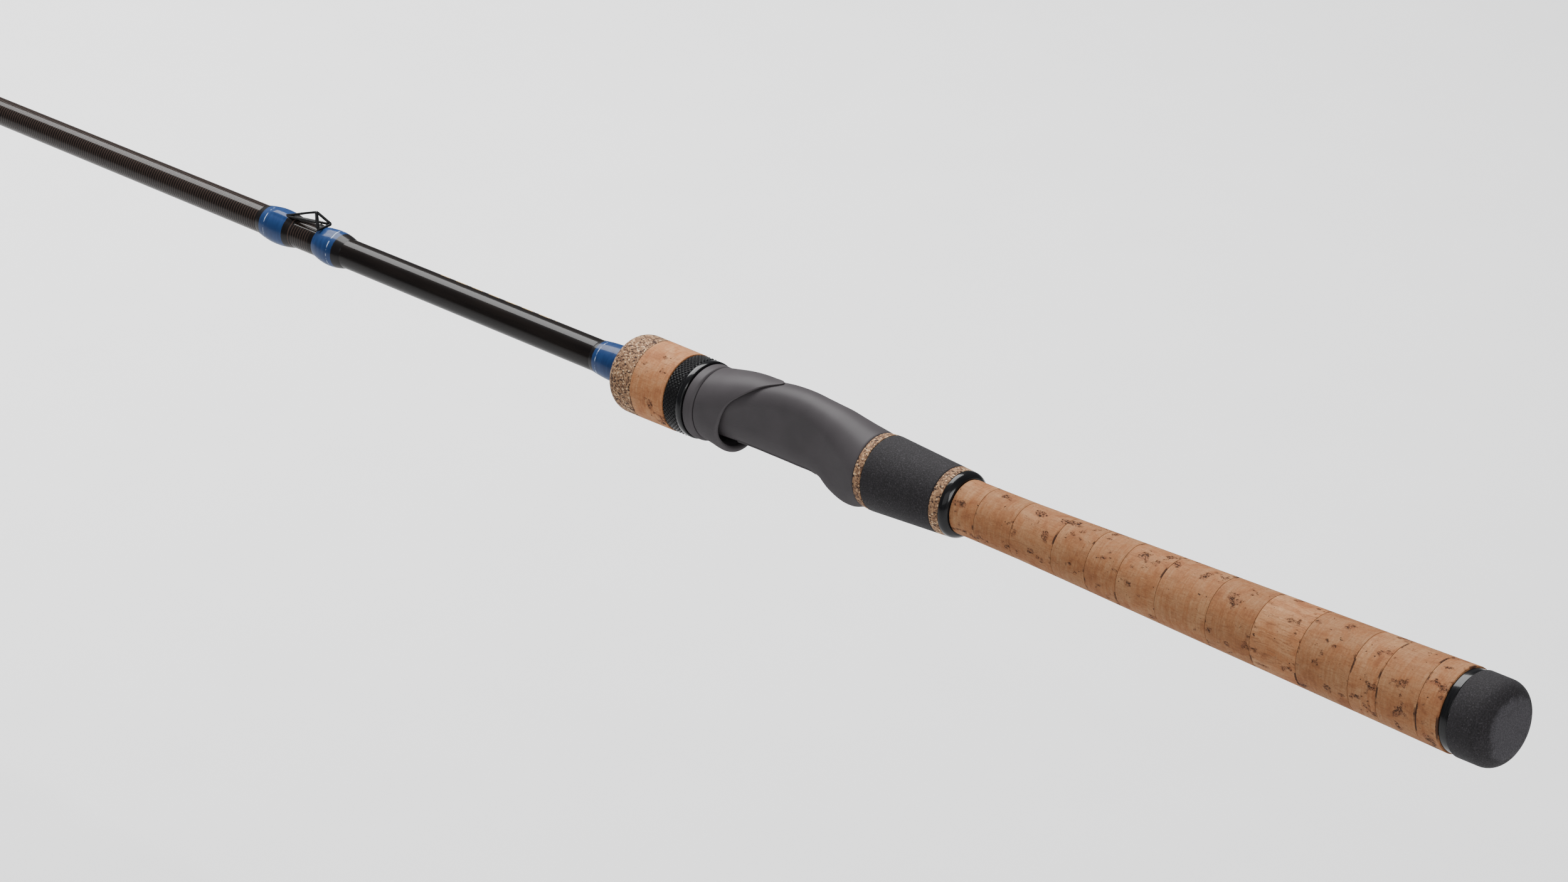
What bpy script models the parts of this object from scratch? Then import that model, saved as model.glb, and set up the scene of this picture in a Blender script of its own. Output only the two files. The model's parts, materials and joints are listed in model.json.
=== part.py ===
"""Two-piece spinning rod with a cork handle and a hidden-thread reel seat.

Frame: +X points out of the butt along the rod's axis, so the tip lies towards -X. +Z is the
hook-keeper side and -Z the reel side, where the guides hang. The origin is the centre of the
butt's end face. Sizes are in millimetres, and "station" means the distance from the butt end.
"""

import math

import bmesh
import bpy
from mathutils import Matrix, Vector

MM = 0.001
SEGMENTS = 24
SNUG = 0.1
RUNNING = 0.35

# Blank
BUTT_SECTION = (8.0, 1020.0)
TIP_SECTION = (960.0, 1979.0)
BUTT_RADIUS = 6.05
BUTT_TAPER = 0.00188
TIP_END_RADIUS = 0.95
BLANK_WALL = 0.85
FERRULE_GAP = 0.12
FERRULE_WALL = 1.15
TIP_BORE_END = 1800.0

# Handle, from the butt forwards: (rear station, front station, rear radius, front radius)
CAP_LENGTH = 13.2
CAP_RADIUS = 13.2
CAP_EDGE = 5.0
CAP_WALL = 7.6
BUTT_RING = (13.3, 16.2, 12.75, 12.75)
CORK_GRIP = 16.3
CORK_RING_LENGTHS = (8.0, 14.4, 10.2, 19.3, 17.4, 17.0, 19.6, 15.4, 12.5, 13.5, 16.9, 14.6, 9.9)
CORK_RADII = ((16.0, 13.2), (50.0, 12.3), (90.0, 11.3), (128.0, 10.35), (156.0, 9.55), (184.0, 8.85), (205.5, 8.75))
MID_RING = (205.1, 208.0, 9.7, 10.7)
MID_BURL = (208.1, 211.6, 10.72, 10.92)
MID_EVA = (211.7, 238.8, 10.94, 12.45)
SEAT_BURL = (238.9, 242.1, 12.45, 12.12)
COLLAR = (312.1, 316.2, 12.15, 12.4)
KNURL = (316.4, 324.4, 12.95, 12.95)
KNURL_LAND = 2.1
FORE_CORK = (324.5, 338.9, 13.0, 13.1)
FORE_BURL = (339.0, 351.2, 13.1, 13.1)
FORE_EDGE = (5.5, 5.2)
FORE_BORE = 7.2

# Reel seat
SEAT_BORE = 6.3
ARBORS = {"seat_arbor_rear": (248.0, 260.0), "seat_arbor_front": (296.0, 308.0)}
BARREL_FRONT = 345.8
THREAD_PITCH = 3.0
THREAD_ROOT = 7.3
THREAD_DEPTH = 0.9
THREAD_PROFILE = ((0.0, 0.0), (0.35, 1.0), (0.65, 1.0))
MALE_THREAD = (313.0, 344.8)
NUT_THREAD = (317.6, 330.0)
NUT = (316.6, 346.4, 10.0)
NUT_BORE = 8.75
# Sections are the outline round two circles: (station, top centre, top radius, bottom centre, bottom radius)
SEAT_SECTIONS = (
    (242.3, 0.0, 12.1, 0.0, 12.1),
    (245.0, 1.3, 11.4, -1.4, 11.2),
    (248.5, 3.0, 10.4, -3.4, 10.1),
    (253.0, 5.2, 9.2, -5.2, 9.1),
    (257.5, 7.1, 8.3, -4.8, 9.0),
    (261.5, 8.45, 7.45, -3.0, 8.7),
    (266.5, 9.45, 6.9, -0.6, 8.4),
    (272.5, 9.85, 6.8, 0.0, 8.3),
    (279.5, 9.35, 6.95, 0.0, 8.3),
    (285.5, 8.4, 7.1, 0.0, 8.4),
    (290.5, 7.3, 7.4, 0.0, 8.6),
    (296.5, 5.6, 8.1, 0.0, 9.0),
    (303.5, 3.2, 9.2, 0.0, 9.3),
    (307.5, 1.9, 9.3, 0.0, 9.4),
    (311.7, 0.5, 9.4, 0.0, 9.4),
)
BED_Z = -7.8
RECESS_Z = -7.0
BED_SPAN = (268.0, 299.8)
POCKET = {"stations": (255.5, 270.0), "half_width": 7.2, "z": (-12.3, RECESS_Z)}

HOOD_SECTIONS = (
    (285.0, 8.5, 7.7, -1.0, 9.5),
    (289.0, 7.9, 8.05, -1.0, 9.9),
    (294.0, 6.7, 8.95, -1.6, 10.2),
    (299.0, 5.1, 9.95, -1.8, 10.8),
    (303.5, 3.4, 10.8, -1.8, 11.2),
    (307.5, 1.9, 11.4, -0.6, 11.6),
    (311.9, 0.45, 11.9, 0.2, 11.7),
)
HOOD_ROWS = 9
HOOD_WALL = (1.0, 0.55)
# Rear edge of the hood: (degrees down from the top, station)
HOOD_EDGE = (
    (0, 285.4), (12, 286.4), (25, 288.6), (38, 290.8), (50, 292.6), (62, 295.0), (75, 298.4), (85, 301.4),
    (95, 303.0), (110, 303.2), (130, 302.8), (150, 302.0), (180, 301.6),
)

# Wraps: (rear station, front station, swell over the blank)
FORE_WRAP = (347.0, 365.8, 0.62)
KEEPER_REAR_WRAP = (487.5, 501.9, 0.95)
KEEPER_FRONT_WRAP = (516.0, 531.0, 0.95)
FERRULE_WRAP = (962.0, 982.0, 0.6)

KEEPER = {"ring": 502.5, "lean": 2.7, "half_width": 2.8, "low": 5.75, "high": 10.5, "nose": 518.5, "wire": 0.38}

# Guides: (station, hole radius, ring centre below the blank's surface, number of feet)
GUIDES = {
    "guide_1": (863.0, 9.3, 24.0, 2),
    "guide_2": (1168.0, 5.75, 16.5, 2),
    "guide_3": (1409.0, 3.35, 9.5, 1),
    "guide_4": (1600.0, 2.65, 7.2, 1),
    "guide_5": (1752.0, 2.3, 6.3, 1),
    "guide_6": (1879.0, 1.9, 5.6, 1),
}
TIP_TOP = {"tube": (1966.0, 1981.0), "hole": 1.9, "drop": 4.6}

COLOURS = {
    "carbon": ((0.022, 0.018, 0.017), 0.22, 0.0),
    "cork": ((0.50, 0.27, 0.13), 0.8, 0.0),
    "burl_cork": ((0.24, 0.14, 0.08), 0.85, 0.0),
    "eva": ((0.022, 0.021, 0.022), 0.95, 0.0),
    "seat": ((0.060, 0.058, 0.063), 0.5, 0.0),
    "black_metal": ((0.012, 0.012, 0.013), 0.2, 1.0),
    "wrap": ((0.02, 0.07, 0.22), 0.12, 0.0),
    "guide_frame": ((0.01, 0.01, 0.01), 0.3, 1.0),
    "guide_ring": ((0.03, 0.03, 0.035), 0.15, 0.0),
    "arbor": ((0.6, 0.55, 0.4), 0.9, 0.0),
}


def clear_scene():
    for obj in list(bpy.data.objects):
        bpy.data.objects.remove(obj)


def point(station, y, z):
    """A point in metres, from a station and two offsets in millimetres."""
    return Vector((-station * MM, y * MM, z * MM))


def material(name):
    found = bpy.data.materials.get(name)
    if found:
        return found
    colour, roughness, metallic = COLOURS[name]
    made = bpy.data.materials.new(name)
    made.use_nodes = True
    shader = made.node_tree.nodes["Principled BSDF"]
    shader.inputs["Base Color"].default_value = (*colour, 1.0)
    shader.inputs["Roughness"].default_value = roughness
    shader.inputs["Metallic"].default_value = metallic
    return made


def add_object(name, bm, slot, smooth=True):
    """Closes a bmesh into an object with one material."""
    bmesh.ops.remove_doubles(bm, verts=bm.verts, dist=1e-6)
    bmesh.ops.recalc_face_normals(bm, faces=bm.faces)
    mesh = bpy.data.meshes.new(name)
    bm.to_mesh(mesh)
    bm.free()
    if smooth:
        mesh.shade_smooth()
        mesh.set_sharp_from_angle(angle=math.radians(35))
    obj = bpy.data.objects.new(name, mesh)
    mesh.materials.append(material(slot))
    bpy.context.scene.collection.objects.link(obj)
    return obj


def helper(obj):
    """Marks a cutter or a joined piece, which is not part of the object by itself."""
    obj.hide_render = True
    obj.display_type = "WIRE"
    return obj


def boolean(obj, other, operation):
    modifier = obj.modifiers.new(f"{operation.lower()}_{other.name}", "BOOLEAN")
    modifier.operation = operation
    modifier.object = helper(other)


def turned(name, profile, slot, segments=SEGMENTS):
    """A closed outline of (station, radius) points, spun about the rod's axis."""
    bm = bmesh.new()
    verts = [bm.verts.new(point(station, 0.0, radius)) for station, radius in profile]
    edges = [bm.edges.new((verts[i], verts[(i + 1) % len(verts)])) for i in range(len(verts))]
    on_axis = [edge for edge in edges if all(v.co.z < 1e-9 for v in edge.verts)]
    bmesh.ops.delete(bm, geom=on_axis, context="EDGES")
    bmesh.ops.spin(
        bm, geom=bm.verts[:] + bm.edges[:], cent=(0, 0, 0), axis=(1, 0, 0), angle=math.tau, steps=segments,
        use_merge=True,
    )
    return add_object(name, bm, slot)


def arc(centre_station, centre_radius, size, start_deg, end_deg, count):
    """Points of an outline's rounded corner. Zero degrees points outwards, 90 towards the tip."""
    along, across = size
    points = []
    for i in range(count + 1):
        angle = math.radians(start_deg + (end_deg - start_deg) * i / count)
        points.append((centre_station + along * math.sin(angle), centre_radius + across * math.cos(angle)))
    return points


def blend(table, station):
    """Straight-line interpolation in a table whose first column is the station."""
    if station <= table[0][0]:
        return table[0][1:]
    for low, high in zip(table, table[1:]):
        if station <= high[0]:
            share = (station - low[0]) / (high[0] - low[0])
            return tuple(a + (b - a) * share for a, b in zip(low[1:], high[1:]))
    return table[-1][1:]


def butt_radius(station):
    return BUTT_RADIUS - BUTT_TAPER * station


def tip_radius(station):
    """Outer radius of the tip section, whose female end fits over the butt section."""
    start = butt_radius(TIP_SECTION[0]) + FERRULE_GAP + FERRULE_WALL
    share = (station - TIP_SECTION[0]) / (TIP_SECTION[1] - TIP_SECTION[0])
    return start + (TIP_END_RADIUS - start) * share


def blank_radius(station):
    return butt_radius(station) if station < TIP_SECTION[0] else tip_radius(station)


def bore_for(station):
    """The hole of a ring that is glued on the blank."""
    return blank_radius(station) + SNUG


# ---- Blank ----


def make_blank():
    rear, front = BUTT_SECTION
    turned(
        "blank_butt_section",
        [
            (rear, butt_radius(rear) - BLANK_WALL),
            (rear, butt_radius(rear)),
            (front, butt_radius(front)),
            (front, butt_radius(front) - BLANK_WALL),
        ],
        "carbon",
    )
    rear, front = TIP_SECTION
    socket = BUTT_SECTION[1] + 2.0
    turned(
        "blank_tip_section",
        [
            (rear, butt_radius(rear) + FERRULE_GAP),
            (rear, tip_radius(rear)),
            (front, TIP_END_RADIUS),
            (front, 0.0),
            (TIP_BORE_END, 0.0),
            (TIP_BORE_END - 8.0, tip_radius(TIP_BORE_END) - BLANK_WALL),
            (socket, butt_radius(socket) + FERRULE_GAP),
        ],
        "carbon",
    )


# ---- Rear handle ----


def make_butt_cap():
    socket = butt_radius(CAP_WALL) + SNUG
    edge = arc(CAP_EDGE, CAP_RADIUS - CAP_EDGE, (CAP_EDGE, CAP_EDGE), -90, 0, 6)
    turned(
        "butt_cap",
        [(0.0, 0.0), *edge, (CAP_LENGTH, CAP_RADIUS), (CAP_LENGTH, socket), (CAP_WALL, socket), (CAP_WALL, 0.0)],
        "eva",
    )


def handle_ring(name, size, slot):
    """A plain ring glued on the blank."""
    rear, front, rear_radius, front_radius = size
    bore = bore_for(rear)
    return turned(name, [(rear, bore), (rear, rear_radius), (front, front_radius), (front, bore)], slot)


def make_mid_ring():
    rear, front, rear_radius, front_radius = MID_RING
    bore = bore_for(rear)
    turned(
        "mid_trim_ring",
        [(rear, bore), (rear, rear_radius), (rear + 0.9, front_radius - 0.2), (rear + 1.6, front_radius),
         (front, front_radius), (front, bore)],
        "black_metal",
    )


def make_cork_rings():
    rear = CORK_GRIP
    for number, length in enumerate(CORK_RING_LENGTHS, start=1):
        front = rear + length
        size = (rear, front - SNUG, blend(CORK_RADII, rear)[0], blend(CORK_RADII, front)[0])
        handle_ring(f"rear_cork_ring_{number:02d}", size, "cork")
        rear = front


# ---- Reel seat ----


def section_points(size, shrink=0.0, count=SEGMENTS):
    """(y, z) points of the outline round two circles on the Z axis, listed by the outline's normal."""
    top_centre, top_radius, low_centre, low_radius = size
    points = []
    for i in range(count):
        angle = math.tau * i / count
        y, z = -math.sin(angle), math.cos(angle)
        upper = top_centre * z + top_radius
        lower = low_centre * z + low_radius
        centre, radius = (top_centre, top_radius) if upper >= lower else (low_centre, low_radius)
        points.append((y * (radius - shrink), centre + z * (radius - shrink)))
    return points


def round_row(station, radius, count=SEGMENTS):
    return [point(station, y, z) for y, z in section_points((0.0, radius, 0.0, radius), count=count)]


def join_rows(bm, rows, closed):
    """Quads between rows of points that have the same count."""
    made = [[bm.verts.new(co) for co in row] for row in rows]
    pairs = list(zip(made, made[1:]))
    if closed:
        pairs.append((made[-1], made[0]))
    for first, second in pairs:
        for i in range(len(first)):
            j = (i + 1) % len(first)
            bm.faces.new((first[i], first[j], second[j], second[i]))


def thread_patch(bm, stations, clearance=0.0, end_height=0.0):
    """A right-hand helical surface. Rows follow the helix, and merge where they are held at the two end planes."""
    near, far = -stations[1], -stations[0]
    per_pitch = len(THREAD_PROFILE)
    turns = range(-int((far - near) / THREAD_PITCH) - 3, 3)
    fade = THREAD_PITCH / 2
    columns = []
    for i in range(SEGMENTS):
        angle = math.tau * i / SEGMENTS
        column = []
        for turn in turns:
            for along, height in THREAD_PROFILE:
                x = -MALE_THREAD[0] + THREAD_PITCH * (turn + along + i / SEGMENTS)
                x -= THREAD_PITCH * round((-MALE_THREAD[0] - far) / THREAD_PITCH)
                held = min(max(x, near), far)
                grown = min((held - near) / fade, (far - held) / fade, 1.0)
                lift = end_height + (height - end_height) * max(grown, 0.0)
                radius = THREAD_ROOT + clearance + THREAD_DEPTH * lift
                column.append(bm.verts.new(point(-held, -radius * math.sin(angle), radius * math.cos(angle))))
        columns.append(column)
    for i, column in enumerate(columns):
        last = i == SEGMENTS - 1
        other = columns[0] if last else columns[i + 1]
        shift = per_pitch if last else 0
        for j in range(len(column) - 1 - shift):
            corners = (column[j], column[j + 1], other[j + 1 + shift], other[j + shift])
            bm.faces.new(corners)


def drop_collapsed(bm):
    """Merges the rows held at a plane, and removes the faces that lose their area there."""
    bmesh.ops.remove_doubles(bm, verts=bm.verts, dist=1e-6)
    bmesh.ops.dissolve_degenerate(bm, dist=1e-7, edges=bm.edges)


def make_seat_body():
    bm = bmesh.new()
    rear = SEAT_SECTIONS[0][0]
    front = SEAT_SECTIONS[-1][0]
    behind = [round_row(MALE_THREAD[0], THREAD_ROOT), round_row(front, THREAD_ROOT)]
    behind += [[point(s, y, z) for y, z in section_points(size)] for s, *size in reversed(SEAT_SECTIONS)]
    behind += [round_row(rear, SEAT_BORE), round_row(BARREL_FRONT, SEAT_BORE)]
    behind += [round_row(BARREL_FRONT, THREAD_ROOT), round_row(MALE_THREAD[1], THREAD_ROOT)]
    join_rows(bm, behind, closed=False)
    thread_patch(bm, MALE_THREAD)
    drop_collapsed(bm)
    body = add_object("reel_seat_body", bm, "seat")
    boolean(body, bed_cutter(), "DIFFERENCE")
    boolean(body, pocket_cutter(), "DIFFERENCE")


def box_mesh(name, low, high, slot="seat"):
    """A box between two corners given as (station, y, z)."""
    bm = bmesh.new()
    bmesh.ops.create_cube(bm, size=1.0)
    a, b = point(*low), point(*high)
    centre, size = (a + b) / 2, [abs(v) for v in b - a]
    bmesh.ops.scale(bm, verts=bm.verts, vec=size)
    bmesh.ops.translate(bm, verts=bm.verts, vec=centre)
    return add_object(name, bm, slot, smooth=False)


def bed_cutter():
    """Cuts the reel foot's bed flat, with a raised land where the foot rests between the two hoods."""
    outline = [
        (SEAT_SECTIONS[-1][0] + 0.5, RECESS_Z),
        (BED_SPAN[1], RECESS_Z),
        (BED_SPAN[1], BED_Z),
        (BED_SPAN[0], BED_Z),
        (BED_SPAN[0], -20.0),
        (SEAT_SECTIONS[-1][0] + 0.5, -20.0),
    ]
    bm = bmesh.new()
    face = bm.faces.new([bm.verts.new(point(station, -20.0, z)) for station, z in outline])
    grown = bmesh.ops.extrude_face_region(bm, geom=[face])
    moved = [item for item in grown["geom"] if isinstance(item, bmesh.types.BMVert)]
    bmesh.ops.translate(bm, verts=moved, vec=(0.0, 40.0 * MM, 0.0))
    return add_object("cut_bed", bm, "seat", smooth=False)


def pocket_cutter():
    """The rear pocket, which takes the reel foot's rear end."""
    (deep, mouth), half, (low, high) = POCKET["stations"], POCKET["half_width"], POCKET["z"]
    cutter = box_mesh("cut_pocket", (deep, -half, low), (mouth, half, high))
    modifier = cutter.modifiers.new("rounded", "BEVEL")
    modifier.width = 1.6 * MM
    modifier.segments = 2
    return cutter


def make_arbors():
    for name, (rear, front) in ARBORS.items():
        bore = bore_for(rear)
        out = SEAT_BORE - SNUG
        turned(name, [(rear, bore), (rear, out), (front, out), (front, bore)], "arbor")


# ---- Hood and lock nut ----


def hood_edge(angle):
    """Station of the hood's rear edge: nearly square below, and swept back into a tongue over the top."""
    from_top = math.degrees(math.acos(max(-1.0, min(1.0, math.cos(angle)))))
    return blend(HOOD_EDGE, from_top)[0]


def make_hood():
    front = HOOD_SECTIONS[-1][0]
    outer, inner = [], []
    for k in range(HOOD_ROWS):
        share = k / (HOOD_ROWS - 1)
        wall = HOOD_WALL[0] + (HOOD_WALL[1] - HOOD_WALL[0]) * share
        outer_row, inner_row = [], []
        for i in range(SEGMENTS):
            station = front + (hood_edge(math.tau * i / SEGMENTS) - front) * share
            size = blend(HOOD_SECTIONS, station)
            y, z = section_points(size)[i]
            outer_row.append(point(station, y, z))
            y, z = section_points(size, shrink=wall)[i]
            inner_row.append(point(station, y, z))
        outer.append(outer_row)
        inner.append(inner_row)
    bm = bmesh.new()
    join_rows(bm, outer + inner[::-1], closed=True)
    add_object("sliding_hood", bm, "seat")


def make_collar():
    rear, front, rear_radius, front_radius = COLLAR
    bore = THREAD_ROOT + THREAD_DEPTH + RUNNING
    turned(
        "hood_collar",
        [(rear, bore), (rear, rear_radius - 0.5), (rear + 0.5, rear_radius), (front, front_radius), (front, bore)],
        "seat",
    )


def make_nut():
    rear, front, radius = NUT
    bm = bmesh.new()
    thread = THREAD_ROOT + THREAD_DEPTH + RUNNING
    rows = [
        round_row(NUT_THREAD[1], thread),
        round_row(NUT_THREAD[1], NUT_BORE),
        round_row(front, NUT_BORE),
        round_row(front, radius),
        round_row(rear, radius),
        round_row(rear, thread),
        round_row(NUT_THREAD[0], thread),
    ]
    join_rows(bm, rows, closed=False)
    thread_patch(bm, NUT_THREAD, clearance=RUNNING, end_height=1.0)
    drop_collapsed(bm)
    add_object("lock_nut", bm, "seat")


def make_fore_grip():
    bore = NUT[2] + SNUG
    rear, front, rear_radius, front_radius = KNURL
    land = rear + KNURL_LAND
    turned(
        "knurled_ring",
        [(rear, bore), (rear, rear_radius - 0.25), (land, rear_radius - 0.25), (land + 0.1, rear_radius),
         (front, front_radius), (front, bore)],
        "black_metal",
    )
    rear, front, rear_radius, front_radius = FORE_CORK
    turned("fore_cork_ring", [(rear, bore), (rear, rear_radius), (front, front_radius), (front, bore)], "cork")
    rear, front, rear_radius, front_radius = FORE_BURL
    along, across = FORE_EDGE
    edge = arc(front - along, front_radius - across, FORE_EDGE, 0, 90, 5)
    ledge = NUT[1] + SNUG
    turned(
        "fore_burl_ring",
        [(rear, bore), (rear, rear_radius), *edge, (front, FORE_BORE), (ledge, FORE_BORE), (ledge, bore)],
        "burl_cork",
    )


# ---- Thread wraps ----


def make_wrap(name, size, cutter=None):
    """Thread under epoxy: a barrel that feathers out on the blank at both ends."""
    rear, front, swell = size
    length = front - rear
    outside = [(rear, 0.22), (rear + 0.2 * length, 0.75 * swell), (rear + 0.5 * length, swell),
               (rear + 0.8 * length, 0.75 * swell), (front, 0.22)]
    profile = [(rear, blank_radius(rear) + SNUG)]
    profile += [(station, blank_radius(station) + SNUG + grown) for station, grown in outside]
    profile.append((front, blank_radius(front) + SNUG))
    wrap = turned(name, profile, "wrap")
    if cutter:
        boolean(wrap, cutter, "DIFFERENCE")
    return wrap


# ---- Wire and plate frames ----


def tube(name, points, radius, slot, cyclic=False, sides=8):
    """A closed round wire through points given as (station, y, z)."""
    curve = bpy.data.curves.new(name, "CURVE")
    curve.dimensions = "3D"
    curve.bevel_depth = radius * MM
    curve.bevel_resolution = (sides - 4) // 2
    curve.use_fill_caps = True
    spline = curve.splines.new("POLY")
    spline.points.add(len(points) - 1)
    for knot, place in zip(spline.points, points):
        knot.co = (*point(*place), 1.0)
    spline.use_cyclic_u = cyclic
    source = bpy.data.objects.new(f"{name}_path", curve)
    bpy.context.scene.collection.objects.link(source)
    bpy.context.view_layer.update()
    mesh = bpy.data.meshes.new_from_object(source.evaluated_get(bpy.context.evaluated_depsgraph_get()))
    bpy.data.objects.remove(source)
    bm = bmesh.new()
    bm.from_mesh(mesh)
    bpy.data.meshes.remove(mesh)
    return add_object(name, bm, slot)


def rounded_loop(corners, share, count=3):
    """A closed path through corners, each cut back and rounded."""
    loop = []
    total = len(corners)
    for i, corner in enumerate(corners):
        corner = Vector(corner)
        before = corner.lerp(Vector(corners[i - 1]), share)
        after = corner.lerp(Vector(corners[(i + 1) % total]), share)
        for k in range(count + 1):
            t = k / count
            loop.append(tuple(before * (1 - t) ** 2 + corner * (2 * t * (1 - t)) + after * t**2))
    return loop


def make_keeper():
    """Hook keeper: a three-cornered wire ring with three braces that run forward to its nose."""
    ring, lean, half = KEEPER["ring"], KEEPER["lean"], KEEPER["half_width"]
    low, high, nose, wire = KEEPER["low"], KEEPER["high"], KEEPER["nose"], KEEPER["wire"]
    corners = [(ring, -half, low), (ring + lean, 0.0, high), (ring, half, low)]
    keeper = tube("hook_keeper", rounded_loop(corners, 0.32), wire, "guide_frame", cyclic=True)
    apex = (ring + lean * 0.86, 0.03, high - 0.62)
    boolean(keeper, tube("keeper_top_brace", [apex, (nose, 0.02, low)], wire * 0.97, "guide_frame", sides=6), "UNION")
    for side, name in ((-1, "keeper_near_brace"), (1, "keeper_far_brace")):
        start = (ring, side * (half - 0.5), low - 0.02)
        brace = tube(name, [start, (nose - 0.4, side * 0.3, low - 0.06)], wire * 0.94, "guide_frame", sides=6)
        boolean(keeper, brace, "UNION")
    floor = blank_radius(nose) + SNUG + 0.05
    front_foot = box_mesh("keeper_front_foot", (nose - 0.6, -0.8, floor), (nose + 8.0, 0.8, floor + 0.5), "guide_frame")
    boolean(keeper, front_foot, "UNION")
    floor = blank_radius(ring) + SNUG + 0.1
    rear_foot = box_mesh("keeper_rear_foot", (ring - 8.0, -1.1, floor), (ring + 0.3, 1.1, floor + 0.5), "guide_frame")
    boolean(keeper, rear_foot, "UNION")
    reach = 0.74
    cut = box_mesh("cut_keeper_front", (nose - 6.0, -0.95, 3.0), (nose + 8.3, 0.95, floor + reach - 0.1))
    make_wrap("keeper_front_wrap", KEEPER_FRONT_WRAP, cut)
    cut = box_mesh("cut_keeper_rear", (ring - 8.3, -1.25, 3.0), (ring + 4.0, 1.25, floor + reach - 0.1))
    make_wrap("keeper_rear_wrap", KEEPER_REAR_WRAP, cut)


def placed_ring(name, station, drop, profile, slot, segments=SEGMENTS):
    """A ring spun about an axis that runs parallel to the rod, a drop below it."""
    ring = turned(name, [(station + along, radius) for along, radius in profile], slot, segments)
    ring.data.transform(Matrix.Translation((0.0, 0.0, -drop * MM)))
    return ring


def make_guide(name, station, hole, height, feet):
    """A line guide: ceramic ring, its metal frame with one or two feet, and a wrap over each foot."""
    surface = blank_radius(station)
    drop = surface + height
    insert = 0.55 + 0.09 * hole
    band = 0.75 + 0.06 * hole
    thick = 0.6 + 0.05 * hole
    outer = hole + insert
    placed_ring(
        f"{name}_ring", station, drop,
        [(-thick, hole + insert * 0.5), (-thick * 0.5, hole), (thick * 0.5, hole), (thick, hole + insert * 0.5),
         (thick * 0.5, outer), (-thick * 0.5, outer)],
        "guide_ring",
    )
    hold = outer + SNUG
    frame = placed_ring(
        f"{name}_frame", station, drop,
        [(-thick, hold), (thick, hold), (thick, hold + band), (-thick, hold + band)],
        "guide_frame",
    )
    wire = 0.3 + 0.03 * hole
    foot_length = 7.0 + 0.9 * hole
    spread = height * (0.75 if feet == 2 else 0.9)
    rest = surface + SNUG
    foot_thick = 0.7
    half = 0.6 + 0.05 * hole
    swell = SNUG + foot_thick + 0.45
    for side in (1, -1)[:feet]:
        heel = station + side * spread
        toe = heel + side * foot_length
        label = "front" if side == 1 else "rear"
        for edge in ((-1, 1) if hole > 3 else (0,)):
            angle = math.radians(38 if edge else 0) * edge
            reach = hold + band * 0.53 + wire * 0.1
            top = (station + side * thick * 0.45, reach * math.sin(angle), -drop + reach * math.cos(angle))
            bottom = (heel, edge * (half - wire * 0.6), -(rest + foot_thick * 0.55))
            leg = tube(f"{name}_{label}_leg{edge}", [top, bottom], wire, "guide_frame", sides=6)
            boolean(frame, leg, "UNION")
        low, high = sorted((heel - side * wire, toe))
        foot = box_mesh(
            f"{name}_{label}_foot", (low, -half, -(rest + foot_thick)), (high, half, -rest), "guide_frame"
        )
        boolean(frame, foot, "UNION")
        start, end = heel + side * (wire + 1.2), toe + side * 2.5
        low, high = sorted((start - side * 3.0, toe + side * 0.3))
        cutter = box_mesh(
            f"cut_{name}_{label}", (low, -half - 0.2, -(rest + foot_thick + 0.2)), (high, half + 0.2, -(surface - 0.6))
        )
        suffix = f"_{label}" if feet == 2 else ""
        make_wrap(f"{name}{suffix}_wrap", (*sorted((start, end)), swell), cutter)


def make_tip_top():
    """Tip-top: a tube glued over the blank's end, with a ring hung below its nose."""
    rear, front = TIP_TOP["tube"]
    hole, drop = TIP_TOP["hole"], TIP_TOP["drop"]
    bore = tip_radius(rear) + SNUG
    outside = bore + 0.4
    frame = turned(
        "tip_top_frame",
        [(rear, bore), (rear, outside), (front + 1.0, outside), (front + 1.0, 0.0), (front - 1.5, 0.0),
         (front - 1.5, bore)],
        "guide_frame",
    )
    insert = 0.7
    ring_station = front + 0.6
    hold = hole + insert + SNUG
    placed_ring(
        "tip_top_ring", ring_station, drop,
        [(-0.7, hole + 0.35), (-0.35, hole), (0.35, hole), (0.7, hole + 0.35), (0.35, hole + insert),
         (-0.35, hole + insert)],
        "guide_ring",
    )
    holder = placed_ring(
        "tip_top_holder", ring_station, drop,
        [(-0.65, hold), (0.65, hold), (0.65, hold + 0.6), (-0.65, hold + 0.6)], "guide_frame",
    )
    boolean(frame, holder, "UNION")
    for side in (-1, 1):
        foot = (rear + 5.0, side * 0.5, -outside + 0.15)
        seat = (ring_station, side * (hold + 0.25) * 0.8, -drop + (hold + 0.25) * 0.6)
        boolean(frame, tube(f"tip_top_brace{side}", [foot, seat], 0.4, "guide_frame", sides=6), "UNION")


def main():
    clear_scene()
    make_blank()
    make_butt_cap()
    handle_ring("butt_trim_ring", BUTT_RING, "black_metal")
    make_cork_rings()
    make_mid_ring()
    handle_ring("mid_burl_ring", MID_BURL, "burl_cork")
    handle_ring("mid_eva_grip", MID_EVA, "eva")
    handle_ring("seat_burl_ring", SEAT_BURL, "burl_cork")
    make_seat_body()
    make_arbors()
    make_hood()
    make_collar()
    make_nut()
    make_fore_grip()
    make_wrap("fore_trim_wrap", FORE_WRAP)
    make_keeper()
    make_wrap("ferrule_wrap", FERRULE_WRAP)
    for name, size in GUIDES.items():
        make_guide(name, *size)
    make_tip_top()


main()
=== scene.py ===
"""Looks for the spinning rod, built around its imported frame.

+X points out of the butt, +Z is the hook-keeper side and -Z the reel side. "Station" is the distance from
the butt end in millimetres, and the shape functions below work in millimetres throughout.
"""

import json
import math

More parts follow.
